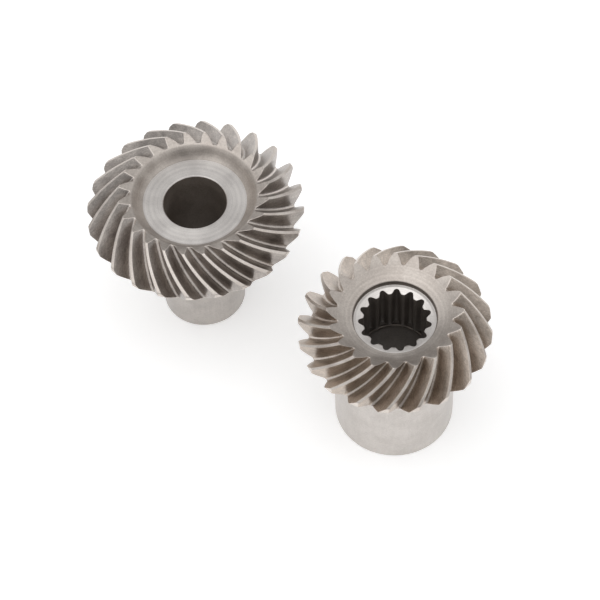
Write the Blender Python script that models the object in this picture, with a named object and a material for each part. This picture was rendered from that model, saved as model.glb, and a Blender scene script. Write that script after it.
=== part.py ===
"""A pair of spiral bevel gears, standing apart on the ends of their hubs.

The driven gear has 24 teeth, a left-hand spiral and a plain bore. The drive gear has
20 teeth, a right-hand spiral and a bore with 15 internal splines. The teeth of both
come from one crown gear, so the pair meshes with the shafts at 90 degrees.

Everything is in metres, +Z up. Both axes are vertical, and the floor is z = 0.
"""

from math import acos, asin, atan, cos, pi, radians, sin, sqrt, tan

import bmesh
import bpy

MM = 0.001
INCH = 0.0254

# The driving dimensions of the pair
DIAMETRAL_PITCH = 6 / INCH
DRIVEN_TEETH = 24
DRIVE_TEETH = 20
PITCH_RADIUS_PER_TOOTH = 0.5 / DIAMETRAL_PITCH
OUTER_CONE = PITCH_RADIUS_PER_TOOTH * sqrt(DRIVEN_TEETH**2 + DRIVE_TEETH**2)
HALF_FACE = 10.3 * MM
MEAN_CONE = OUTER_CONE - HALF_FACE
MEAN_SPIRAL = radians(35)
CUTTER_RADIUS = 3 * INCH
NORMAL_PRESSURE = radians(25)
BACKLASH = 0.15 * MM
HEEL_FILLET = 0.77 * MM
TOE_FILLET = 0.94 * MM
FILLET_SPREAD = 0.55
DRIVEN_AXIS_X = -55.2 * MM
DRIVE_AXIS_X = 62.4 * MM
STEEL_TINT = (0.42, 0.40, 0.38, 1.0)
DRIVEN_ROUGHNESS = 0.38
DRIVE_ROUGHNESS = 0.34

# How finely the teeth are divided
FACE_SECTIONS = 6
RING_POINTS_PER_TOOTH = 3
EDGE_RIM = 0.8 * MM
SPLINE_ROOT_POINTS = 5
CUTTER_SIDES = 60
CUTTER_OVERRUN = 1 * MM
SHARP_EDGE = radians(28)

# Each gear: its teeth from the outer cone to the toe (inner end), heights above the end of
# its hub, and radii. Toe lean is how much further in the root runs than the tip does. The
# heel is how far the teeth run out past the outer cone, where the tips are turned straight.
DRIVEN = dict(
    name="driven_gear",
    teeth=DRIVEN_TEETH,
    pitch_angle=asin(DRIVEN_TEETH * PITCH_RADIUS_PER_TOOTH / OUTER_CONE),
    face_width=20.6 * MM,
    heel=1.3 * MM,
    addendum=3.2 * MM,
    toe_addendum=2.1 * MM,
    root_depth=5.3 * MM,
    toe_root_depth=2.6 * MM,
    toe_lean=3.0 * MM,
    thinning=0.65 * MM,
    hand=-1,
    phase=radians(3.4),
    apex_height=114.7 * MM,
    hub_radius=20.65 * MM,
    hub_chamfer=0.8 * MM,
    back_radius=40.3 * MM,
    bore_radius=15.4 * MM,
    bore_chamfer=0.5 * MM,
)
DRIVE = dict(
    name="drive_gear",
    teeth=DRIVE_TEETH,
    pitch_angle=asin(DRIVE_TEETH * PITCH_RADIUS_PER_TOOTH / OUTER_CONE),
    face_width=19.6 * MM,
    heel=2.6 * MM,
    addendum=4.5 * MM,
    toe_addendum=2.7 * MM,
    root_depth=4.0 * MM,
    toe_root_depth=2.9 * MM,
    toe_lean=0.9 * MM,
    thinning=-0.65 * MM,
    hand=+1,
    phase=radians(12.3),
    apex_height=120.6 * MM,
    hub_radius=29.1 * MM,
    hub_chamfer=0.4 * MM,
    back_radius=33.9 * MM,
    bore_radius=13.2 * MM,
    bore_chamfer=0.8 * MM,
)

# Where each dish bends: the share of the way out to the teeth, and of the way down
DRIVEN_DISH_BEND = (0.35, 0.22)
DRIVE_DISH_BEND = (0.5, 0.35)

# The driven gear's front: a flat ring round the bore, and a dish up to the teeth
ANNULUS_RADIUS = 25.3 * MM
ANNULUS_HEIGHT = 79.2 * MM
ANNULUS_STEP = 0.45 * MM
ANNULUS_STEP_SPREAD = 0.4 * MM

# The drive gear's front: a counterbore with a flat floor, and a dish up to the teeth
RECESS_RADIUS = 19.9 * MM
RECESS_FLOOR_RADIUS = 19.55 * MM
RECESS_RIM_HEIGHT = 80.6 * MM
RECESS_FLOOR_HEIGHT = 78.1 * MM
RECESS_RIM_CHAMFER = 0.3 * MM

# The fillet where the hub meets the back face, as two chamfers
HUB_FILLET = 1.6 * MM
HUB_FILLET_BEND = 0.3

# The internal spline: 15 grooves, 12/24 pitch, 30 degree pressure angle, round roots
SPLINE_GROOVES = 15
SPLINE_PITCH_RADIUS = SPLINE_GROOVES / 12 * INCH / 2
SPLINE_MINOR_RADIUS = (SPLINE_GROOVES - 1) / 12 * INCH / 2
SPLINE_MAJOR_RADIUS = (SPLINE_GROOVES + 1.35) / 12 * INCH / 2
SPLINE_PRESSURE = radians(30)
SPLINE_ROOT_ROUND = 1.454 * MM
SPLINE_END_HEIGHT = 50.5 * MM
SPLINE_PHASE = radians(1.7)

# Below the splines: a relief for the cutter to run out in, then a plain bore
RELIEF_RADIUS = 17.9 * MM
RELIEF_END_HEIGHT = 46.0 * MM
LOWER_BORE_RADIUS = 17.2 * MM
LOWER_BORE_TOP = 45.6 * MM


def crown_angle(cone_distance):
    """The lengthwise curve of the crown gear's teeth: a cutter circle, in polar angle."""
    reach_squared = MEAN_CONE**2 + CUTTER_RADIUS**2 - 2 * MEAN_CONE * CUTTER_RADIUS * sin(MEAN_SPIRAL)
    reach = sqrt(reach_squared)

    def polar(distance):
        return acos((distance**2 + reach_squared - CUTTER_RADIUS**2) / (2 * distance * reach))

    return polar(OUTER_CONE) - polar(cone_distance)


def involute(angle):
    return tan(angle) - angle


def cone_point(gear, cone_distance, height):
    """(radius, z) of a point that stands height above the pitch cone, at right angles to it."""
    angle = gear["pitch_angle"]
    radius = cone_distance * sin(angle) + height * cos(angle)
    return radius, gear["apex_height"] - cone_distance * cos(angle) + height * sin(angle)


def half_thickness(gear, cone_distance, height):
    """Half the tooth's angle about the gear's axis, from the involute on the back cone."""
    angle = gear["pitch_angle"]
    taper = cone_distance / OUTER_CONE
    pitch_radius = cone_distance * tan(angle)
    pressure = atan(tan(NORMAL_PRESSURE) / cos(MEAN_SPIRAL))
    thickness = (pi / DIAMETRAL_PITCH / 2 - gear["thinning"]) * taper - BACKLASH
    local = acos(pitch_radius * cos(pressure) / (pitch_radius + height))
    on_back_cone = thickness / (2 * pitch_radius) + involute(pressure) - involute(local)
    return on_back_cone / cos(angle)


def tip_height(gear, inward):
    """The tip's height, held down beyond the outer cone by the straight-turned outside."""
    if inward >= 0:
        return gear["addendum"] + inward * (gear["toe_addendum"] - gear["addendum"])
    return gear["addendum"] + gear["face_width"] * inward * tan(gear["pitch_angle"])


def root_depth(gear, inward):
    return gear["root_depth"] + inward * (gear["toe_root_depth"] - gear["root_depth"])


def tooth_profile(gear, inward):
    """(angle, radius, z) across one tooth, root to tip to root.

    Inward is 0 at the outer cone and 1 at the toe.
    """
    tip, root = tip_height(gear, inward), -root_depth(gear, inward)
    fillet = HEEL_FILLET + inward * (TOE_FILLET - HEEL_FILLET)
    side = []
    for height in (root, root + fillet, root / 4, tip / 2, tip):
        lean = gear["toe_lean"] * max(inward, 0) * (tip - height) / (tip - root)
        distance = OUTER_CONE - gear["face_width"] * inward - lean
        half = half_thickness(gear, distance, height)
        if height == root:
            half += FILLET_SPREAD * fillet / (distance * sin(gear["pitch_angle"]))
        side.append((twist(gear, distance), half, *cone_point(gear, distance, height)))
    left = [(turn - half, radius, z) for turn, half, radius, z in side]
    right = [(turn + half, radius, z) for turn, half, radius, z in side]
    return left + right[::-1]


def heel_share(gear):
    return -gear["heel"] / gear["face_width"]


def twist(gear, cone_distance):
    """How far the spiral has turned a tooth about the gear's axis, from the outer cone."""
    return -gear["hand"] * crown_angle(cone_distance) / sin(gear["pitch_angle"])


def place(mesh, azimuth, radius, z):
    return mesh.verts.new((radius * cos(azimuth), radius * sin(azimuth), z))


def ring(mesh, count, start, radius, z):
    return [place(mesh, start + 2 * pi * i / count, radius, z) for i in range(count)]


def join_rings(mesh, first, second, shift=0):
    count = len(first)
    for i in range(count):
        j = (i + 1) % count
        mesh.faces.new((first[i], first[j], second[(j + shift) % count], second[(i + shift) % count]))


def tooth_band(mesh, gear):
    """The toothed surface, as one loop of points for each section from heel to toe."""
    teeth = gear["teeth"]
    sections = []
    inwards = [heel_share(gear)] + [step / (FACE_SECTIONS - 1) for step in range(FACE_SECTIONS)]
    for inward in inwards:
        profile = tooth_profile(gear, inward)
        loop = []
        for tooth in range(teeth):
            centre = gear["phase"] + 2 * pi * tooth / teeth
            loop += [place(mesh, centre + angle, radius, z) for angle, radius, z in profile]
        sections.append(loop)
    for first, second in zip(sections, sections[1:]):
        join_rings(mesh, first, second)
    return sections


def close_end(mesh, gear, loop, inner):
    """The flat-sided ends of the teeth, down to a plain ring inside them."""
    teeth = gear["teeth"]
    points = len(loop) // teeth
    for tooth in range(teeth):
        profile = loop[tooth * points : (tooth + 1) * points]
        under = inner[tooth * RING_POINTS_PER_TOOTH : (tooth + 1) * RING_POINTS_PER_TOOTH]
        mesh.faces.new(profile + under[::-1])
        following = (tooth + 1) % teeth
        next_under = inner[following * RING_POINTS_PER_TOOTH]
        mesh.faces.new((profile[-1], loop[following * points], next_under, under[-1]))


def plain_rings(mesh, gear, start, outline):
    """Plain rings through the (radius, z) points of an outline, each joined to the last."""
    count = gear["teeth"] * RING_POINTS_PER_TOOTH
    rings = [ring(mesh, count, start, radius, z) for radius, z in outline]
    for first, second in zip(rings, rings[1:]):
        join_rings(mesh, first, second)
    return rings


def toe_cone(gear):
    """The cone distance at which the roots of the teeth meet the gear's front."""
    return OUTER_CONE - gear["face_width"] - gear["toe_lean"]


def front_edge(gear):
    return cone_point(gear, toe_cone(gear) - EDGE_RIM / 2, -gear["toe_root_depth"] - EDGE_RIM)


def front_outline_driven(gear):
    bore, chamfer = gear["bore_radius"], gear["bore_chamfer"]
    edge = front_edge(gear)
    bend_out, bend_down = DRIVEN_DISH_BEND
    dish_foot = ANNULUS_HEIGHT + ANNULUS_STEP
    dish_radius = ANNULUS_RADIUS + bend_out * (edge[0] - ANNULUS_RADIUS)
    return [
        edge,
        (dish_radius, dish_foot + bend_down * (edge[1] - ANNULUS_HEIGHT)),
        (ANNULUS_RADIUS + ANNULUS_STEP_SPREAD, dish_foot),
        (ANNULUS_RADIUS, ANNULUS_HEIGHT),
        (bore + chamfer, ANNULUS_HEIGHT),
        (bore, ANNULUS_HEIGHT - chamfer),
    ]


def front_outline_drive(gear):
    edge = front_edge(gear)
    bend_out, bend_down = DRIVE_DISH_BEND
    dish_radius = RECESS_RADIUS + bend_out * (edge[0] - RECESS_RADIUS)
    return [
        edge,
        (dish_radius, RECESS_RIM_HEIGHT + bend_down * (edge[1] - RECESS_RIM_HEIGHT)),
        (RECESS_RADIUS + RECESS_RIM_CHAMFER, RECESS_RIM_HEIGHT),
        (RECESS_RADIUS, RECESS_RIM_HEIGHT - RECESS_RIM_CHAMFER),
        (RECESS_FLOOR_RADIUS, RECESS_FLOOR_HEIGHT),
        (gear["bore_radius"], RECESS_FLOOR_HEIGHT),
    ]


def back_outline(gear):
    """From the heel's roots down the back cone, across the back face and down the hub."""
    hub, chamfer = gear["hub_radius"], gear["hub_chamfer"]
    bore, bore_chamfer = gear["bore_radius"], gear["bore_chamfer"]
    edge = cone_point(gear, OUTER_CONE + gear["heel"], -root_depth(gear, heel_share(gear)) - EDGE_RIM)
    back = gear["back_radius"]
    back_height = edge[1] - (edge[0] - back) * tan(gear["pitch_angle"])
    fillet, bend = HUB_FILLET, HUB_FILLET * HUB_FILLET_BEND
    return [
        edge,
        (back, back_height),
        (hub + fillet, back_height),
        (hub + bend, back_height - bend),
        (hub, back_height - fillet),
        (hub, chamfer),
        (hub - chamfer, 0),
        (bore + bore_chamfer, 0),
        (bore, bore_chamfer),
    ]


def gear_mesh(gear, front_outline):
    mesh = bmesh.new()
    sections = tooth_band(mesh, gear)
    pitch = 2 * pi / gear["teeth"]
    heel_point = gear["phase"] - pitch / RING_POINTS_PER_TOOTH + twist(gear, OUTER_CONE + gear["heel"])
    turn = twist(gear, toe_cone(gear)) - twist(gear, OUTER_CONE + gear["heel"])
    front = plain_rings(mesh, gear, heel_point + turn, front_outline)
    back = plain_rings(mesh, gear, heel_point, back_outline(gear))
    close_end(mesh, gear, sections[0], back[0])
    close_end(mesh, gear, sections[-1], front[0])
    shift = round(turn / (pitch / RING_POINTS_PER_TOOTH))
    join_rings(mesh, front[-1], back[-1], shift)
    bmesh.ops.recalc_face_normals(mesh, faces=mesh.faces)
    return mesh


def add_object(name, mesh, location=(0, 0, 0)):
    data = bpy.data.meshes.new(name)
    mesh.to_mesh(data)
    mesh.free()
    made = bpy.data.objects.new(name, data)
    made.location = location
    bpy.context.scene.collection.objects.link(made)
    return made


def steel(name, roughness):
    material = bpy.data.materials.new(name)
    material.use_nodes = True
    shader = material.node_tree.nodes["Principled BSDF"]
    shader.inputs["Base Color"].default_value = STEEL_TINT
    shader.inputs["Metallic"].default_value = 1.0
    shader.inputs["Roughness"].default_value = roughness
    return material


def finish_gear(made, roughness):
    made.data.materials.append(steel(made.name + "_steel", roughness))
    made.data.shade_smooth()
    made.data.set_sharp_from_angle(angle=SHARP_EDGE)


def spline_outline():
    """The hole's outline: 15 straight-sided grooves with round roots."""
    pitch = 2 * pi / SPLINE_GROOVES
    pitch_half_width = pi * SPLINE_PITCH_RADIUS / SPLINE_GROOVES / 2
    slope = tan(SPLINE_PRESSURE)
    mouth = pitch_half_width + (SPLINE_PITCH_RADIUS - SPLINE_MINOR_RADIUS) * slope
    round_centre = SPLINE_MAJOR_RADIUS - SPLINE_ROOT_ROUND
    round_start = SPLINE_PRESSURE - pi / 2
    points = []
    for groove in range(SPLINE_GROOVES):
        centre = groove * pitch
        outline = [(SPLINE_MINOR_RADIUS, -mouth)]
        for step in range(SPLINE_ROOT_POINTS):
            turn = round_start * (1 - 2 * step / (SPLINE_ROOT_POINTS - 1))
            outline.append((round_centre + SPLINE_ROOT_ROUND * cos(turn), SPLINE_ROOT_ROUND * sin(turn)))
        outline.append((SPLINE_MINOR_RADIUS, mouth))
        for along, across in outline:
            points.append((
                along * cos(centre) - across * sin(centre),
                along * sin(centre) + across * cos(centre),
            ))
    return points


def spline_cutter(location, turn):
    mesh = bmesh.new()
    outline = spline_outline()
    low = [mesh.verts.new((x, y, SPLINE_END_HEIGHT - CUTTER_OVERRUN)) for x, y in outline]
    high = [mesh.verts.new((x, y, RECESS_FLOOR_HEIGHT + CUTTER_OVERRUN)) for x, y in outline]
    mesh.faces.new(low[::-1])
    mesh.faces.new(high)
    join_rings(mesh, low, high)
    bmesh.ops.recalc_face_normals(mesh, faces=mesh.faces)
    cutter = add_object("spline_cutter", mesh, location)
    cutter.rotation_euler.z = turn
    return cutter


def lower_bore_cutter(location, chamfer):
    """The relief where the splines end, and the plain bore from there to the hub's end."""
    outline = [
        (RELIEF_RADIUS, SPLINE_END_HEIGHT),
        (RELIEF_RADIUS, RELIEF_END_HEIGHT),
        (LOWER_BORE_RADIUS, LOWER_BORE_TOP),
        (LOWER_BORE_RADIUS, chamfer),
        (LOWER_BORE_RADIUS + 2 * chamfer, -chamfer),
    ]
    mesh = bmesh.new()
    rings = [ring(mesh, CUTTER_SIDES, 0, radius, z) for radius, z in outline]
    for first, second in zip(rings, rings[1:]):
        join_rings(mesh, first, second)
    mesh.faces.new(rings[0])
    mesh.faces.new(rings[-1])
    bmesh.ops.recalc_face_normals(mesh, faces=mesh.faces)
    return add_object("lower_bore_cutter", mesh, location)


def cut(made, cutter):
    cutter.hide_render = True
    cutter.display_type = "WIRE"
    boolean = made.modifiers.new(cutter.name, "BOOLEAN")
    boolean.operation = "DIFFERENCE"
    boolean.object = cutter


def build():
    for old in list(bpy.data.objects):
        bpy.data.objects.remove(old, do_unlink=True)
    driven_mesh = gear_mesh(DRIVEN, front_outline_driven(DRIVEN))
    drive_mesh = gear_mesh(DRIVE, front_outline_drive(DRIVE))
    driven = add_object(DRIVEN["name"], driven_mesh, (DRIVEN_AXIS_X, 0, 0))
    drive = add_object(DRIVE["name"], drive_mesh, (DRIVE_AXIS_X, 0, 0))
    finish_gear(driven, DRIVEN_ROUGHNESS)
    finish_gear(drive, DRIVE_ROUGHNESS)
    cut(drive, spline_cutter(drive.location, SPLINE_PHASE))
    cut(drive, lower_bore_cutter(drive.location, DRIVE["bore_chamfer"]))


build()
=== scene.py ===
"""The looks of the spiral bevel gear pair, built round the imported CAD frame.

Each CAD node is stood for by a finer mesh of the same gear: the teeth come from the same
crown gear, with round root fillets, broken edges and the turned front, and each surface
has its own finish. Metres, +Z up, in the CAD's frame.
"""

from math import acos, asin, atan, cos, pi, radians, sin, sqrt, tan

import bpy
import numpy as np
from mathutils import Matrix, Vector


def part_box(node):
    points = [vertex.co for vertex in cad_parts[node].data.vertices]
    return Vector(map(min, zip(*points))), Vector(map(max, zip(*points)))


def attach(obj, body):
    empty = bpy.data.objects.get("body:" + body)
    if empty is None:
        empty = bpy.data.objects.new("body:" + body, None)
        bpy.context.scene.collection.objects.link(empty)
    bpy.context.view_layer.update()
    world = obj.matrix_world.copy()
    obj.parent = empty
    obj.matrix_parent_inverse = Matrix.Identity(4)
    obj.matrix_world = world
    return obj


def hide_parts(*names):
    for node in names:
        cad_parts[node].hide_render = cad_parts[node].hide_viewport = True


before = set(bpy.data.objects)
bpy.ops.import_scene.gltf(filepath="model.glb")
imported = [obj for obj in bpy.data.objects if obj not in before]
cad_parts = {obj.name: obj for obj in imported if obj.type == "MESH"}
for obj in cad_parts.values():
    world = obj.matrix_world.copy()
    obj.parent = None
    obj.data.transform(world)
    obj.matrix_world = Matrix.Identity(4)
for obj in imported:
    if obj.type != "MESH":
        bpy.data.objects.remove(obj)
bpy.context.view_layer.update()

MM = 0.001
INCH = 0.0254

# ---- The pair's dimensions, as the CAD has them ----
DIAMETRAL_PITCH = 6 / INCH
DRIVEN_TEETH = 24
DRIVE_TEETH = 20
PITCH_RADIUS_PER_TOOTH = 0.5 / DIAMETRAL_PITCH
OUTER_CONE = PITCH_RADIUS_PER_TOOTH * sqrt(DRIVEN_TEETH**2 + DRIVE_TEETH**2)
MEAN_CONE = OUTER_CONE - 10.3 * MM
MEAN_SPIRAL = radians(35)
CUTTER_RADIUS = 3 * INCH
NORMAL_PRESSURE = radians(25)
BACKLASH = 0.15 * MM
RIM = 0.8 * MM

DRIVEN = dict(
    node="driven_gear",
    teeth=DRIVEN_TEETH,
    face_width=20.6 * MM,
    heel=1.3 * MM,
    tip=(3.2 * MM, 2.1 * MM),
    root=(-5.3 * MM, -2.6 * MM),
    fillet=(0.8 * MM, 0.95 * MM),
    toe_lean=3.0 * MM,
    thinning=0.65 * MM,
    hand=-1,
    phase=radians(3.4),
    apex_height=114.7 * MM,
    side_points=13,
)
DRIVE = dict(
    node="drive_gear",
    teeth=DRIVE_TEETH,
    face_width=19.6 * MM,
    heel=2.6 * MM,
    tip=(4.5 * MM, 2.7 * MM),
    root=(-4.0 * MM, -2.9 * MM),
    fillet=(0.8 * MM, 0.85 * MM),
    toe_lean=0.9 * MM,
    thinning=-0.65 * MM,
    hand=+1,
    phase=radians(12.3),
    apex_height=120.6 * MM,
    side_points=14,
)
for gear in (DRIVEN, DRIVE):
    gear["angle"] = asin(gear["teeth"] * PITCH_RADIUS_PER_TOOTH / OUTER_CONE)

# How finely a tooth is divided, and how its edges are broken
FILLET_POINTS = 5
TIP_POINTS = 3
FACE_SECTIONS = 26
END_ROWS = 5
TIP_ROUND = 0.16 * MM
END_BREAK = 0.14 * MM

# The splines of the drive gear
GROOVES = 15
SPLINE_PITCH_RADIUS = GROOVES / 12 * INCH / 2
SPLINE_MINOR = (GROOVES - 1) / 12 * INCH / 2
SPLINE_MAJOR = (GROOVES + 1.35) / 12 * INCH / 2
SPLINE_PRESSURE = radians(30)
SPLINE_ROOT_ROUND = 1.454 * MM
SPLINE_PHASE = radians(1.7)
SPLINE_END = 50.5 * MM
LEAD_IN_RADIUS = 18.2 * MM
LEAD_IN_SLOPE = 0.25
FLOOR_HEIGHT = 78.1 * MM

# Zones of a gear's surface, each with its own finish
FLANK, LAND, FRONT, HUB, BORE, BACK, FACE = range(7)


# ---- The shape of the teeth ----

def crown_angle(cone_distance):
    """The lengthwise curve of the crown gear's teeth: a cutter circle, in polar angle."""
    reach_squared = MEAN_CONE**2 + CUTTER_RADIUS**2 - 2 * MEAN_CONE * CUTTER_RADIUS * sin(MEAN_SPIRAL)
    reach = sqrt(reach_squared)

    def polar(distance):
        return acos((distance**2 + reach_squared - CUTTER_RADIUS**2) / (2 * distance * reach))

    return polar(OUTER_CONE) - polar(cone_distance)


def involute(angle):
    return tan(angle) - angle


def cone_point(gear, cone_distance, height):
    """(radius, z) of a point that stands height above the pitch cone, at right angles to it."""
    angle = gear["angle"]
    radius = cone_distance * sin(angle) + height * cos(angle)
    return radius, gear["apex_height"] - cone_distance * cos(angle) + height * sin(angle)


def half_thickness(gear, cone_distance, height):
    """Half the tooth's angle about the gear's axis, from the involute on the back cone."""
    angle = gear["angle"]
    taper = cone_distance / OUTER_CONE
    pitch_radius = cone_distance * tan(angle)
    pressure = atan(tan(NORMAL_PRESSURE) / cos(MEAN_SPIRAL))
    thickness = (pi / DIAMETRAL_PITCH / 2 - gear["thinning"]) * taper - BACKLASH
    local = acos(pitch_radius * cos(pressure) / (pitch_radius + height))
    on_back_cone = thickness / (2 * pitch_radius) + involute(pressure) - involute(local)
    return on_back_cone / cos(angle)


def twist(gear, cone_distance):
    return -gear["hand"] * crown_angle(cone_distance) / sin(gear["angle"])


def between(pair, share):
    return pair[0] + (pair[1] - pair[0]) * share


def tip_and_root(gear, inward):
    """Heights at a section. Beyond the outer cone the straight-turned outside holds the tip down."""
    root = between(gear["root"], inward)
    if inward >= 0:
        return between(gear["tip"], inward), root
    return gear["tip"][0] + gear["face_width"] * inward * tan(gear["angle"]), root


def half_profile(gear, inward):
    """(width, height, distance) from the gap's floor up one side to the land, at one section."""
    tip, root = tip_and_root(gear, inward)
    fillet = between(gear["fillet"], inward)

    def distance_at(height):
        lean = gear["toe_lean"] * max(inward, 0) * (tip - height) / (tip - root)
        return OUTER_CONE - gear["face_width"] * inward - lean

    def width_at(height):
        distance = distance_at(height)
        return half_thickness(gear, distance, height) * cone_point(gear, distance, height)[0]

    def lean_at(low, high):
        return atan((width_at(low) - width_at(high)) / (high - low))

    slope = lean_at(root, root + fillet)
    centre = width_at(root) + fillet * (1 - sin(slope)) / cos(slope)
    points = []
    for step in range(FILLET_POINTS):
        turn = (pi / 2 - slope) * step / (FILLET_POINTS - 1)
        points.append((centre - fillet * sin(turn), root + fillet * (1 - cos(turn))))
    tip_slope = lean_at(tip - fillet, tip)
    tip_centre = width_at(tip) - TIP_ROUND * (1 - sin(tip_slope)) / cos(tip_slope)
    low, high = points[-1][1], tip - TIP_ROUND * (1 - sin(tip_slope))
    flank_points = gear["side_points"] - FILLET_POINTS - TIP_POINTS
    for step in range(1, flank_points + 1):
        height = low + (high - low) * step / (flank_points + 1)
        points.append((width_at(height), height))
    for step in range(TIP_POINTS):
        turn = tip_slope + (pi / 2 - tip_slope) * step / (TIP_POINTS - 1)
        points.append((tip_centre + TIP_ROUND * cos(turn), tip - TIP_ROUND * (1 - sin(turn))))
    points.append((0.0, tip))
    return [(width, height, distance_at(height)) for width, height in points]


def shrunk(points, amount):
    """The half profile drawn in by amount along its own normals, for a broken edge."""
    if not amount:
        return points
    flat = np.array([(width, height) for width, height, _ in points])
    run = np.gradient(flat, axis=0)
    run /= np.linalg.norm(run, axis=1)[:, None]
    run[-1] = run[0] = (-1, 0)
    normal = np.stack([run[:, 1], -run[:, 0]], axis=1)
    moved = flat - amount * normal
    moved[-1, 0] = 0.0
    return [(w, h, point[2]) for (w, h), point in zip(moved, points)]


def section(gear, inward, drawn_in=0.0):
    """One loop round the gear: rows of (azimuth, radius, z, distance from heel, height)."""
    half = shrunk(half_profile(gear, inward), drawn_in)
    rows = []
    gap_height, gap_distance = half[0][1], half[0][2]
    radius, z = cone_point(gear, gap_distance, gap_height)
    pitch = 2 * pi / gear["teeth"]
    rows.append((twist(gear, gap_distance) - pitch / 2, radius, z, gap_distance, gap_height, 0.0))
    for side, points in ((-1, half), (1, half[-2::-1])):
        for width, height, distance in points:
            radius, z = cone_point(gear, distance, height)
            rows.append((twist(gear, distance) + side * width / radius, radius, z, distance, height, side))
    one = np.array(rows)
    count = gear["teeth"]
    loop = np.tile(one, (count, 1))
    loop[:, 0] += np.repeat(gear["phase"] + pitch * np.arange(count), len(one))
    return loop


def column_zones(gear):
    """The zone of each strip between one column of a tooth and the next."""
    side = gear["side_points"]
    tooth = [LAND] + [FLANK] * (side - 1) + [LAND, LAND] + [FLANK] * (side - 1) + [LAND]
    return np.array(tooth * gear["teeth"])


# ---- Plain turned surfaces ----

def softened(outline):
    """The outline with each corner that has a radius turned into a short arc."""
    points = []
    for i, (radius, z, corner, zone) in enumerate(outline):
        if not corner:
            points.append((radius, z, zone))
            continue
        here = np.array((radius, z))
        before = np.array(outline[i - 1][:2]) - here
        after = np.array(outline[i + 1][:2]) - here
        before, after = before / np.linalg.norm(before), after / np.linalg.norm(after)
        half = acos(max(-1.0, min(1.0, float(before @ after)))) / 2
        centre = here + (before + after) / np.linalg.norm(before + after) * corner / sin(half)
        start, end = here + before * corner / tan(half), here + after * corner / tan(half)
        for share in (0.0, 1 / 3, 2 / 3, 1.0):
            chord = start + (end - start) * share - centre
            on_arc = centre + chord / np.linalg.norm(chord) * corner
            points.append((*on_arc, outline[i - 1][3] if share == 0 else zone))
    return points


def curve_through(first, middle, last, count):
    """Points on the parabola through three, without its first and last."""
    first, middle, last = (np.array(point) for point in (first, middle, last))
    share = (middle[0] - first[0]) / (last[0] - first[0])
    bend = (middle - first - (last - first) * share) / (share * (share - 1))
    shares = np.arange(1, count) / count
    return [tuple(first + (last - first) * s + bend * s * (s - 1)) for s in shares]


class Shell:
    """A closed surface made of loops of points, all with as many points, joined in turn."""

    def __init__(self, count):
        self.count = count
        self.points, self.data, self.loops = [], [], 0
        self.faces, self.zones = [], []

    def add(self, azimuth, radius, z, data=None):
        azimuth, radius, z = (np.broadcast_to(a, self.count) for a in (azimuth, radius, z))
        self.points.append(np.stack([radius * np.cos(azimuth), radius * np.sin(azimuth), z], axis=1))
        self.data.append(np.zeros((self.count, 3)) if data is None else data)
        self.loops += 1

    def join(self, first, second, zone, shift=0):
        i = np.arange(self.count)
        j = (i + 1) % self.count
        a, b = first * self.count, second * self.count
        quads = [a + i, a + j, b + (j + shift) % self.count, b + (i + shift) % self.count]
        self.faces.append(np.stack(quads, axis=1))
        self.zones.append(np.broadcast_to(zone, self.count))

    def mesh(self, name):
        points = np.concatenate(self.points)
        faces, zones = np.concatenate(self.faces), np.concatenate(self.zones)
        centre, corners = points.mean(axis=0), points[faces]
        flow = np.cross(corners[:, 2] - corners[:, 0], corners[:, 3] - corners[:, 1])
        if np.einsum("ij,ij->", corners.mean(axis=1) - centre, flow) < 0:
            faces = faces[:, ::-1]
        made = bpy.data.meshes.new(name)
        made.from_pydata(points.tolist(), [], faces.tolist())
        made.polygons.foreach_set("material_index", zones.astype(np.int32))
        data = np.concatenate(self.data)
        for i, label in enumerate(("from_heel", "above_root", "edge_share")):
            layer = made.attributes.new(label, "FLOAT", "POINT")
            layer.data.foreach_set("value", data[:, i].astype(np.float32))
        made.shade_smooth()
        made.set_sharp_from_angle(angle=radians(40))
        made.update()
        return made


def tooth_data(gear, loop, inward):
    """What the flank's finish needs at each point: mm from the heel, mm above the root, and how near the land."""
    tip, root = tip_and_root(gear, inward)
    return np.stack([
        (OUTER_CONE - loop[:, 3]) / MM,
        (loop[:, 4] - root) / MM,
        (loop[:, 4] - root) / (tip - root),
    ], axis=1)


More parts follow.
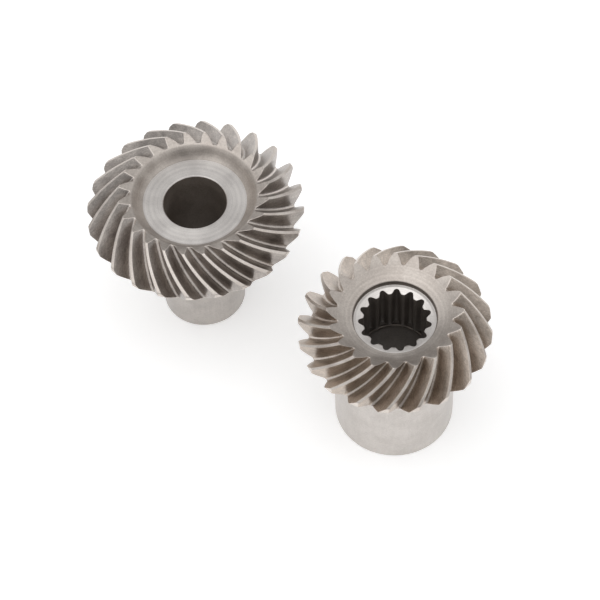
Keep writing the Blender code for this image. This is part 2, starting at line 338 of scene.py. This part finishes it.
def gear_shell(gear, front_outline, back_outline, inside):
    """The whole gear: back, heel ends, teeth, toe ends, front, and inside as the last loops."""
    teeth, count = gear["teeth"], gear["teeth"] * (2 * gear["side_points"] + 2)
    shell = Shell(count)
    step = 2 * pi / count
    uniform_start = SPLINE_PHASE - pi / GROOVES
    heel_share, inset = -gear["heel"] / gear["face_width"], END_BREAK / gear["face_width"]
    spread = np.linspace(0, 1, FACE_SECTIONS)[1:-1]
    inwards = [heel_share, heel_share + inset, heel_share / 2, -inset, inset, *spread, 1 - inset, 1.0]
    draws = [END_BREAK] + [0.0] * (len(inwards) - 2) + [END_BREAK]
    sections = [section(gear, inward, draw) for inward, draw in zip(inwards, draws)]
    heel, toe = sections[0], sections[-1]

    def shift_of(azimuths):
        return round((azimuths[0] - uniform_start) / step)

    def even(azimuths):
        return uniform_start + step * (np.arange(count) + shift_of(azimuths))

    # From the hub's end up the back, with the columns gathering towards the teeth
    back = softened(back_outline)
    for i, (radius, z, zone) in enumerate(back):
        share = max(0.0, 1 - (len(back) - 1 - i) / 4)
        azimuth = even(heel[:, 0]) * (1 - share) + heel[:, 0] * share
        shell.add(azimuth, radius, z)
        if i:
            shell.join(i - 1, i, zone)
    rim_radius, rim_z = back[-1][:2]
    for row in range(1, END_ROWS):
        share = row / END_ROWS
        shell.add(heel[:, 0], rim_radius + (heel[:, 1] - rim_radius) * share, rim_z + (heel[:, 2] - rim_z) * share)
        shell.join(shell.loops - 2, shell.loops - 1, BACK)
    for i, (loop, inward) in enumerate(zip(sections, inwards)):
        shell.add(loop[:, 0], loop[:, 1], loop[:, 2], tooth_data(gear, loop, inward))
        at_end = i in (0, 1, len(sections) - 1)
        zone = {0: BACK, 1: LAND}.get(i, LAND if at_end else column_zones(gear))
        shell.join(shell.loops - 2, shell.loops - 1, zone)
    front = softened(front_outline)
    rim_radius, rim_z = front[0][:2]
    for row in range(1, END_ROWS):
        share = row / END_ROWS
        shell.add(toe[:, 0], toe[:, 1] + (rim_radius - toe[:, 1]) * share, toe[:, 2] + (rim_z - toe[:, 2]) * share)
        shell.join(shell.loops - 2, shell.loops - 1, FRONT)
    for i, (radius, z, zone) in enumerate(front):
        share = max(0.0, 1 - i / 5)
        azimuth = even(toe[:, 0]) * (1 - share) + toe[:, 0] * share
        shell.add(azimuth, radius, z)
        shell.join(shell.loops - 2, shell.loops - 1, zone)
    inside(shell, even(toe[:, 0]), shift_of(toe[:, 0]))
    shell.join(shell.loops - 1, 0, BORE, shift_of(toe[:, 0]) - shift_of(heel[:, 0]))
    return shell


# ---- Each gear's own turned outlines ----

def front_rim(gear, depth):
    """A point in line with the toe ends of the teeth, depth below their roots."""
    toe = OUTER_CONE - gear["face_width"] - gear["toe_lean"]
    lean = gear["toe_lean"] / (gear["tip"][1] - gear["root"][1])
    return cone_point(gear, toe - lean * depth, gear["root"][1] - depth)


def between_points(first, second, share):
    return tuple(a + (b - a) * share for a, b in zip(first, second))


def driven_front():
    edge = front_rim(DRIVEN, RIM)
    ring, height, step = 25.3 * MM, 79.2 * MM, 0.45 * MM
    middle = (ring + 0.35 * (edge[0] - ring), height + step + 0.22 * (edge[1] - height))
    end = (ring + 0.4 * MM, height + step)
    start, below = front_rim(DRIVEN, 0.1 * MM), between_points(edge, middle, 0.55)
    outline = [(*start, 0, FRONT)]
    for share in (0.17, 0.33, 0.5, 0.67, 0.83, 1.0):
        along = between_points(start, edge, share), between_points(edge, below, share)
        outline.append((*between_points(*along, share), 0, FRONT))
    outline += [(*point, 0, FRONT) for point in curve_through(below, middle, end, 5)]
    outline += [
        (*end, 0.12 * MM, FRONT),
        (ring, height, 0.08 * MM, FACE),
        (ring - 0.7 * MM, height, 0, FACE),
        (15.9 * MM, height, 0.1 * MM, FACE),
        (15.4 * MM, height - 0.5 * MM, 0.1 * MM, LAND),
        (15.4 * MM, height - 1.5 * MM, 0, BORE),
    ]
    return outline


def back_of(gear, hub, hub_chamfer, back, bore, bore_chamfer):
    """From the bore's lower mouth, out over the hub's end, up the hub and out to the teeth."""
    heel_root = between(gear["root"], -gear["heel"] / gear["face_width"])
    edge = cone_point(gear, OUTER_CONE + gear["heel"], heel_root - RIM)
    back_height = edge[1] - (edge[0] - back) * tan(gear["angle"])
    fillet = 1.6 * MM
    return [
        (bore, bore_chamfer + 1 * MM, 0, BORE),
        (bore, bore_chamfer, 0.1 * MM, BORE),
        (bore + bore_chamfer, 0, 0.1 * MM, LAND),
        (hub - hub_chamfer, 0, 0.15 * MM, BACK),
        (hub, hub_chamfer, 0.15 * MM, LAND),
        (hub, back_height - 6 * MM, 0, HUB),
        (hub, back_height, fillet, HUB),
        (hub + fillet + 2 * MM, back_height, 0, BACK),
        (back, back_height, 0.5 * MM, BACK),
        (back + 0.5 * (edge[0] - back), back_height + 0.5 * (edge[1] - back_height), 0, BACK),
        (*edge, 0, BACK),
    ]


def drive_front():
    edge = front_rim(DRIVE, RIM)
    recess, rim = 19.9 * MM, 80.6 * MM
    middle = (recess + 0.5 * (edge[0] - recess), rim + 0.35 * (edge[1] - rim))
    end = (recess + 0.3 * MM, rim)
    outline = [(*edge, 0, FRONT)]
    outline += [(*point, 0, FRONT) for point in curve_through(edge, middle, end, 9)]
    outline += [
        (*end, 0.1 * MM, FRONT),
        (recess, rim - 0.3 * MM, 0.1 * MM, LAND),
        (19.62 * MM, FLOOR_HEIGHT + 0.35 * MM, 0, BORE),
        (19.4 * MM, FLOOR_HEIGHT, 0.12 * MM, FACE),
        (LEAD_IN_RADIUS, FLOOR_HEIGHT, 0.05 * MM, FACE),
        (LEAD_IN_RADIUS - 0.3 * MM, FLOOR_HEIGHT - 0.3 * MM * LEAD_IN_SLOPE, 0, FACE),
    ]
    return outline


def groove_outline():
    """(along, across) of one groove of the spline, from the middle of one tooth to the next."""
    slope = tan(SPLINE_PRESSURE)
    mouth = pi * SPLINE_PITCH_RADIUS / GROOVES / 2 + (SPLINE_PITCH_RADIUS - SPLINE_MINOR) * slope
    centre = SPLINE_MAJOR - SPLINE_ROOT_ROUND
    edge = asin(mouth / SPLINE_MINOR)
    half = []
    for step in range(8):
        azimuth = pi / GROOVES + (edge - pi / GROOVES) * step / 8
        half.append((SPLINE_MINOR * cos(azimuth), -SPLINE_MINOR * sin(azimuth)))
    corner = np.array((SPLINE_MINOR * cos(edge), -mouth))
    turn = SPLINE_PRESSURE - pi / 2
    landing = np.array((centre + SPLINE_ROOT_ROUND * cos(turn), SPLINE_ROOT_ROUND * sin(turn)))
    run = (landing - corner) / np.linalg.norm(landing - corner)
    soft = 0.18 * MM
    half[-1] = (SPLINE_MINOR * cos(edge + 0.02), -SPLINE_MINOR * sin(edge + 0.02))
    half.append(tuple(corner + (run * 0.35 + np.array((0, -0.35))) * soft))
    for share in (0.1, 0.35, 0.6, 0.85):
        half.append(tuple(corner + (landing - corner) * share))
    for step in range(7):
        angle = turn * (1 - step / 7)
        half.append((centre + SPLINE_ROOT_ROUND * cos(angle), SPLINE_ROOT_ROUND * sin(angle)))
    other = [(along, -across) for along, across in half[:0:-1]]
    return half + [(SPLINE_MAJOR, 0.0)] + other


def spline_loop():
    """(azimuth, radius) of the whole splined hole."""
    outline = np.array(groove_outline())
    azimuth = np.arctan2(outline[:, 1], outline[:, 0])
    radius = np.linalg.norm(outline, axis=1)
    turns = SPLINE_PHASE + 2 * pi / GROOVES * np.arange(GROOVES)
    return (turns[:, None] + azimuth).ravel(), np.tile(radius, GROOVES)


def driven_inside(shell, azimuth, shift):
    for z in (60 * MM, 30 * MM):
        shell.add(azimuth, 15.4 * MM, z)
        shell.join(shell.loops - 2, shell.loops - 1, BORE)


def drive_inside(shell, azimuth, shift):
    """The lead-in cone, the splines, the relief below them and the plain lower bore."""
    groove_azimuth, groove_radius = (np.roll(a, -shift) for a in spline_loop())
    groove_azimuth = azimuth + (groove_azimuth - azimuth + pi) % (2 * pi) - pi
    start = LEAD_IN_RADIUS - 0.3 * MM

    def on_cone(radius):
        return FLOOR_HEIGHT - LEAD_IN_SLOPE * (LEAD_IN_RADIUS - radius)

    for share in (0.3, 0.65, 0.96, 1.0):
        radius = start + (groove_radius - start) * share
        turned = azimuth + (groove_azimuth - azimuth) * share
        z = on_cone(radius) - (0.12 * MM if share == 1.0 else 0)
        shell.add(turned, radius, z)
        shell.join(shell.loops - 2, shell.loops - 1, FACE if share < 1 else LAND)
    for z in (74 * MM, SPLINE_END + 2 * MM, SPLINE_END + 0.2 * MM, SPLINE_END):
        shell.add(groove_azimuth, groove_radius + (0.15 * MM if z == SPLINE_END else 0), z)
        shell.join(shell.loops - 2, shell.loops - 1, BORE)
    relief, bore = 17.9 * MM, 17.2 * MM
    for radius, z in (
        (relief, SPLINE_END), (relief, 46.0 * MM), (bore + 0.1 * MM, 45.7 * MM), (bore, 45.4 * MM), (bore, 43 * MM),
        (bore, 20 * MM),
    ):
        shell.add(azimuth, radius, z)
        shell.join(shell.loops - 2, shell.loops - 1, BORE)


# ---- Finishes ----

def add_node(tree, kind, values=None, **settings):
    made = tree.nodes.new("ShaderNode" + kind)
    for key, value in settings.items():
        setattr(made, key, value)
    for key, value in (values or {}).items():
        if isinstance(value, bpy.types.NodeSocket):
            tree.links.new(value, made.inputs[key])
        else:
            made.inputs[key].default_value = value
    return made


def maths(tree, operation, first, second=0.0):
    return add_node(tree, "Math", {0: first, 1: second}, operation=operation).outputs[0]


def remap(tree, value, low, high, to_low, to_high):
    values = {"Value": value, "From Min": low, "From Max": high, "To Min": to_low, "To Max": to_high}
    return add_node(tree, "MapRange", values, interpolation_type="SMOOTHSTEP").outputs["Result"]


def noise(tree, vector, scale, detail=3.0, roughness=0.55, distortion=0.0):
    values = {"Vector": vector, "Scale": scale, "Detail": detail, "Roughness": roughness, "Distortion": distortion}
    return add_node(tree, "TexNoise", values).outputs["Fac"]


def mixed(tree, share, first, second, blend="MIX"):
    made = add_node(tree, "Mix", data_type="RGBA", blend_type=blend)
    for socket, value in ((made.inputs[0], share), (made.inputs[6], first), (made.inputs[7], second)):
        if isinstance(value, bpy.types.NodeSocket):
            tree.links.new(value, socket)
        else:
            socket.default_value = value
    return made.outputs[2]


def coordinates(tree):
    """(position in mm from the gear's axis, radius, azimuth, height), all as sockets."""
    place = add_node(tree, "TexCoord").outputs["Object"]
    in_mm = add_node(tree, "VectorMath", {0: place, "Scale": 1000.0}, operation="SCALE").outputs[0]
    parts = add_node(tree, "SeparateXYZ", {0: in_mm}).outputs
    across = add_node(tree, "CombineXYZ", {"X": parts["X"], "Y": parts["Y"]}).outputs[0]
    radius = add_node(tree, "VectorMath", {0: across}, operation="LENGTH").outputs["Value"]
    azimuth = maths(tree, "ARCTAN2", parts["Y"], parts["X"])
    return in_mm, radius, azimuth, parts["Z"]


def rgb(red, green, blue):
    return (red, green, blue, 1.0)


def steel(name, dark, light, roughness, spread=0.08, anisotropy=0.0):
    """A metal with mottled colour and roughness. Returns (material, tree, shader, sockets to build marks on)."""
    material = bpy.data.materials.new(name)
    material.use_nodes = True
    tree = material.node_tree
    shader = tree.nodes["Principled BSDF"]
    shader.inputs["Metallic"].default_value = 1.0
    shader.inputs["Anisotropic"].default_value = anisotropy
    shader.inputs["Anisotropic Rotation"].default_value = 0.25 if anisotropy else 0.0
    place, radius, azimuth, height = coordinates(tree)
    cloud = noise(tree, place, 0.09, 4.0, 0.6)
    grain = noise(tree, place, 1.3, 3.0, 0.6)
    share = remap(tree, maths(tree, "ADD", maths(tree, "MULTIPLY", cloud, 0.6), maths(tree, "MULTIPLY", grain, 0.4)), 0.34, 0.66, 0.0, 1.0)
    colour = mixed(tree, share, dark, light)
    tree.links.new(colour, shader.inputs["Base Color"])
    rough = remap(tree, cloud, 0.3, 0.7, roughness - spread, roughness + spread)
    tree.links.new(rough, shader.inputs["Roughness"])
    return dict(material=material, tree=tree, shader=shader, place=place, radius=radius, azimuth=azimuth,
                height=height, colour=colour, cloud=cloud, grain=grain)


def bump(finish, height, distance, strength):
    values = {"Height": height, "Distance": distance, "Strength": strength}
    made = add_node(finish["tree"], "Bump", values)
    finish["tree"].links.new(made.outputs[0], finish["shader"].inputs["Normal"])


def recolour(finish, colour):
    finish["tree"].links.new(colour, finish["shader"].inputs["Base Color"])
    finish["colour"] = colour


def turned(name, dark, light, roughness, depth=0.012, pitch=0.35, anisotropy=0.55):
    """Steel with the fine rings that a lathe leaves, spaced along the radius or the height."""
    finish = steel(name, dark, light, roughness, 0.05, anisotropy)
    tree = finish["tree"]
    line = maths(tree, "ADD", finish["radius"], maths(tree, "MULTIPLY", finish["height"], 0.6))
    wander = maths(tree, "MULTIPLY", noise(tree, finish["place"], 0.05, 1.0), 0.8)
    row = add_node(tree, "CombineXYZ", {"X": maths(tree, "ADD", line, wander)}).outputs[0]
    fine = noise(tree, row, 1 / pitch, 2.0, 0.7)
    broad = noise(tree, row, 0.8, 2.0, 0.6)
    tint = remap(tree, broad, 0.35, 0.65, 0.93, 1.05)
    grey = add_node(tree, "CombineColor", {0: tint, 1: tint, 2: tint}).outputs[0]
    recolour(finish, mixed(tree, 1.0, finish["colour"], grey, "MULTIPLY"))
    bump(finish, maths(tree, "ADD", fine, broad), depth * MM, 1.0)
    return finish["material"]


def flank_steel(name, dark, light):
    """Cut and hardened flanks: dark, with the cutter's marks running slantwise along the tooth, and a painted
    highlight in a thin band along the land's edge.
    """
    finish = steel(name, dark, light, 0.34, 0.06)
    tree = finish["tree"]
    along = add_node(tree, "Attribute", attribute_name="from_heel").outputs["Fac"]
    above = add_node(tree, "Attribute", attribute_name="above_root").outputs["Fac"]
    share = add_node(tree, "Attribute", attribute_name="edge_share").outputs["Fac"]
    slant = maths(tree, "ADD", maths(tree, "MULTIPLY", along, 1.0), maths(tree, "MULTIPLY", above, 1.4))
    lengthwise = maths(tree, "MULTIPLY", above, 1.0)
    row = add_node(tree, "CombineXYZ", {"X": slant, "Y": maths(tree, "MULTIPLY", lengthwise, 0.12)}).outputs[0]
    marks = noise(tree, row, 1.6, 3.0, 0.65)
    strokes = noise(tree, add_node(tree, "CombineXYZ", {"X": maths(tree, "MULTIPLY", along, 0.06), "Y": above}).outputs[0], 3.0, 3.0, 0.6)
    tint = remap(tree, maths(tree, "ADD", maths(tree, "MULTIPLY", marks, 0.5), maths(tree, "MULTIPLY", strokes, 0.5)), 0.36, 0.64, 0.8, 1.18)
    grey = add_node(tree, "CombineColor", {0: tint, 1: tint, 2: tint}).outputs[0]
    coloured = mixed(tree, 1.0, finish["colour"], grey, "MULTIPLY")
    # Painted highlight: the flank turns towards its light colour in a thin band along the land, where the tip edge
    # catches the light.
    painted_tip_highlight = remap(tree, share, 0.93, 1.0, 0.0, 0.7)
    recolour(finish, mixed(tree, painted_tip_highlight, coloured, light))
    bump(finish, maths(tree, "ADD", marks, strokes), 0.02 * MM, 1.0)
    return finish["material"]


def hub_steel(name, dark, light):
    """Ground steel: very fine rings, faint upright streaks and a few stains."""
    finish = steel(name, dark, light, 0.36, 0.05, 0.35)
    tree = finish["tree"]
    turn = maths(tree, "MULTIPLY", finish["azimuth"], 9.0)
    streak_row = add_node(tree, "CombineXYZ", {"X": turn, "Y": maths(tree, "MULTIPLY", finish["height"], 0.03)}).outputs[0]
    streaks = noise(tree, streak_row, 1.5, 3.0, 0.6)
    ring_row = add_node(tree, "CombineXYZ", {"X": finish["height"]}).outputs[0]
    rings = noise(tree, ring_row, 2.2, 3.0, 0.7)
    tint = remap(tree, maths(tree, "ADD", maths(tree, "MULTIPLY", streaks, 0.6), maths(tree, "MULTIPLY", rings, 0.4)), 0.36, 0.64, 0.97, 1.02)
    grey = add_node(tree, "CombineColor", {0: tint, 1: tint, 2: tint}).outputs[0]
    coloured = mixed(tree, 1.0, finish["colour"], grey, "MULTIPLY")
    spots = remap(tree, noise(tree, finish["place"], 0.16, 2.0, 0.5), 0.68, 0.74, 0.0, 0.35)
    recolour(finish, mixed(tree, spots, coloured, dark))
    bump(finish, rings, 0.006 * MM, 1.0)
    return finish["material"]


def plain_steel(name, dark, light, roughness, depth=0.01):
    finish = steel(name, dark, light, roughness)
    bump(finish, maths(finish["tree"], "ADD", finish["grain"], finish["cloud"]), depth * MM, 1.0)
    return finish["material"]


def bore_steel_painted_shade(name, dark, light):
    """Bare bore walls, dulled by a film of oil and dust, and painted darker than bare steel for the shade inside the
    bores.
    """
    finish = steel(name, dark, light, 0.5)
    finish["shader"].inputs["Metallic"].default_value = 0.6
    bump(finish, maths(finish["tree"], "ADD", finish["grain"], finish["cloud"]), 0.02 * MM, 1.0)
    return finish["material"]


def finishes(prefix, flank_dark, flank_light, hub, bore):
    """The materials of one gear, in the order of the zones."""
    warm, pale = rgb(0.56, 0.50, 0.455), rgb(0.74, 0.69, 0.64)
    return [
        flank_steel(prefix + "_flank", flank_dark, flank_light),
        plain_steel(prefix + "_land", warm, pale, 0.36),
        turned(prefix + "_front", rgb(0.43, 0.385, 0.35), rgb(0.60, 0.55, 0.505), 0.38, 0.006),
        hub_steel(prefix + "_hub", *hub),
        bore_steel_painted_shade(prefix + "_bore", *bore),
        turned(prefix + "_back", rgb(0.48, 0.445, 0.42), rgb(0.62, 0.585, 0.555), 0.4),
        turned(prefix + "_face", rgb(0.66, 0.625, 0.60), rgb(0.79, 0.755, 0.725), 0.33, 0.003),
    ]


# ---- The two gears, as objects ----

def axis_of(node):
    low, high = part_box(node)
    return (low.x + high.x) / 2, (low.y + high.y) / 2


def show_gear(gear, shell, materials, body):
    made = bpy.data.objects.new(gear["node"] + "_fine", shell.mesh(gear["node"] + "_fine"))
    bpy.context.scene.collection.objects.link(made)
    made.location = (*axis_of(gear["node"]), 0)
    for material in materials:
        made.data.materials.append(material)
    weighted = made.modifiers.new("even_normals", "WEIGHTED_NORMAL")
    weighted.keep_sharp = True
    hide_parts(gear["node"])
    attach(made, body)
    return made


driven_shell = gear_shell(
    DRIVEN, driven_front(), back_of(DRIVEN, 20.65 * MM, 0.8 * MM, 40.3 * MM, 15.4 * MM, 0.5 * MM), driven_inside
)
drive_shell = gear_shell(
    DRIVE, drive_front(), back_of(DRIVE, 29.1 * MM, 0.4 * MM, 33.9 * MM, 17.2 * MM, 0.8 * MM), drive_inside
)
# The bore colours are painted shade: far darker than bare steel, and darkest in the drive gear's splined hole.
driven_finish = finishes(
    "driven", rgb(0.31, 0.28, 0.26), rgb(0.54, 0.495, 0.46),
    hub=(rgb(0.42, 0.39, 0.365), rgb(0.54, 0.505, 0.475)), bore=(rgb(0.20, 0.165, 0.14), rgb(0.30, 0.255, 0.22)),
)
drive_finish = finishes(
    "drive", rgb(0.36, 0.305, 0.26), rgb(0.59, 0.515, 0.45),
    hub=(rgb(0.52, 0.485, 0.455), rgb(0.64, 0.605, 0.575)), bore=(rgb(0.12, 0.10, 0.085), rgb(0.18, 0.155, 0.135)),
)
show_gear(DRIVEN, driven_shell, driven_finish, "driven_gear")
show_gear(DRIVE, drive_shell, drive_finish, "drive_gear")


# ---- Floor, light and camera ----

LOOK_DOWN = radians(56.73)
LOOK_TURN = radians(38.3)
ROLL = radians(-2.96)
AIM = Vector((-0.0122, 0.0237, 0.0))
DISTANCE = 1.1523
WORLD_HORIZON = 0.35
FLOOR_GLOW = 0.3


def floor():
    mesh = bpy.data.meshes.new("floor")
    side = 6.0
    mesh.from_pydata([(-side, -side, 0), (side, -side, 0), (side, side, 0), (-side, side, 0)], [], [(0, 1, 2, 3)])
    made = bpy.data.objects.new("floor", mesh)
    made.location.z = -0.0002
    bpy.context.scene.collection.objects.link(made)
    material = bpy.data.materials.new("pale_floor")
    material.use_nodes = True
    shader = material.node_tree.nodes["Principled BSDF"]
    shader.inputs["Base Color"].default_value = rgb(0.93, 0.93, 0.93)
    shader.inputs["Roughness"].default_value = 0.8
    shader.inputs["Specular IOR Level"].default_value = 0.1
    shader.inputs["Emission Color"].default_value = rgb(1.0, 1.0, 1.0)
    shader.inputs["Emission Strength"].default_value = FLOOR_GLOW
    mesh.materials.append(material)


def surroundings():
    """A pale tent: bright overhead, dimmer towards the horizon and on the far side, as the camera sees it."""
    world = bpy.data.worlds.new("tent")
    bpy.context.scene.world = world
    world.use_nodes = True
    tree = world.node_tree
    direction = add_node(tree, "TexCoord").outputs["Generated"]
    unit = add_node(tree, "VectorMath", {0: direction}, operation="NORMALIZE").outputs[0]
    height = add_node(tree, "SeparateXYZ", {0: unit}).outputs["Z"]

    def towards(ahead, aside, up):
        """How nearly a ray points at a direction, given as seen from the camera's side."""
        along = Vector((-sin(LOOK_TURN), cos(LOOK_TURN), 0)) * ahead
        across = Vector((cos(LOOK_TURN), sin(LOOK_TURN), 0)) * aside
        aim = (along + across + Vector((0, 0, up))).normalized()
        return add_node(tree, "VectorMath", {0: unit, 1: aim}, operation="DOT_PRODUCT").outputs["Value"]

    walls = remap(tree, height, 0.0, 0.75, WORLD_HORIZON, 1.0)
    overhead = remap(tree, towards(-0.15, -0.3, 1.0), 0.7, 1.0, 0.0, 0.55)
    far_side = remap(tree, towards(1.0, 0.0, 0.95), 0.78, 0.98, 1.0, 0.55)
    near_side = remap(tree, towards(-1.0, 0.0, 0.0), 0.6, 0.97, 1.0, 0.3)
    bright = maths(tree, "MULTIPLY", maths(tree, "ADD", walls, overhead), maths(tree, "MULTIPLY", far_side, near_side))
    grey = add_node(tree, "CombineColor", {0: bright, 1: bright, 2: bright}).outputs[0]
    tree.links.new(grey, tree.nodes["Background"].inputs["Color"])
    tree.nodes["Background"].inputs["Strength"].default_value = 1.0


def camera():
    turn = Matrix.Rotation(LOOK_TURN, 3, "Z")
    ahead = Vector((0, cos(LOOK_DOWN), -sin(LOOK_DOWN)))
    right = Vector((1, 0, 0))
    up = Vector((0, sin(LOOK_DOWN), cos(LOOK_DOWN)))
    rolled_right = right * cos(ROLL) + up * sin(ROLL)
    rolled_up = up * cos(ROLL) - right * sin(ROLL)
    data = bpy.data.cameras.new("camera")
    data.sensor_width, data.lens = 36.0, 135.01
    made = bpy.data.objects.new("camera", data)
    axes = Matrix([turn @ rolled_right, turn @ rolled_up, turn @ -ahead]).transposed()
    made.matrix_world = Matrix.Translation(AIM - DISTANCE * (turn @ ahead)) @ axes.to_4x4()
    data.clip_start, data.clip_end = 0.05, 30.0
    bpy.context.scene.collection.objects.link(made)
    bpy.context.scene.camera = made


floor()
surroundings()
camera()
bpy.context.scene.view_settings.view_transform = "Standard"
